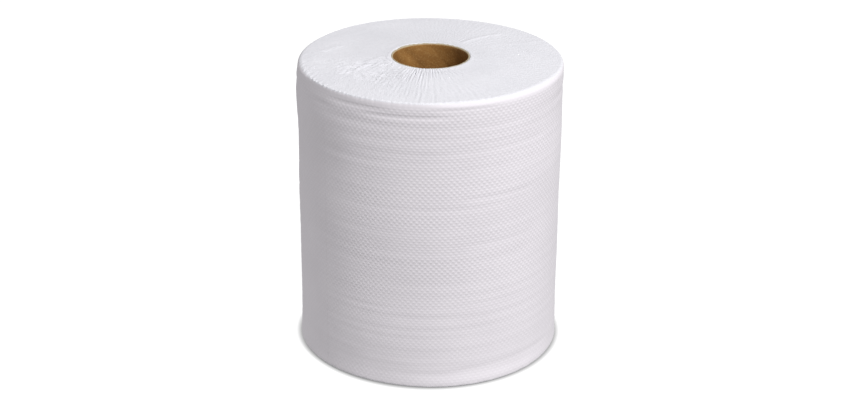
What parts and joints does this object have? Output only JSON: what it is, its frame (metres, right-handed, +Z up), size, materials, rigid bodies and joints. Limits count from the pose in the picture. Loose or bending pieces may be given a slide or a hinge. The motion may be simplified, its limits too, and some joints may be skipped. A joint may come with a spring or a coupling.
{
  "type": "paper towel roll",
  "caption": "Wide roll of white embossed paper towel wound on a plain cardboard tube, standing on end.",
  "frame": {"origin": "centre of the base, on the surface that the roll stands on", "axes": "+Z up along the roll's axis; +X and +Y are free, with the loose end of the web at 128 degrees from +X"},
  "size_m": [0.2296, 0.2294, 0.26],
  "materials": {
    "paper": "matte embossed",
    "cardboard": "matte"
  },
  "bodies": {
    "root": {"paper_roll": "paper", "core_tube": "cardboard"}
  },
  "joints": []
}
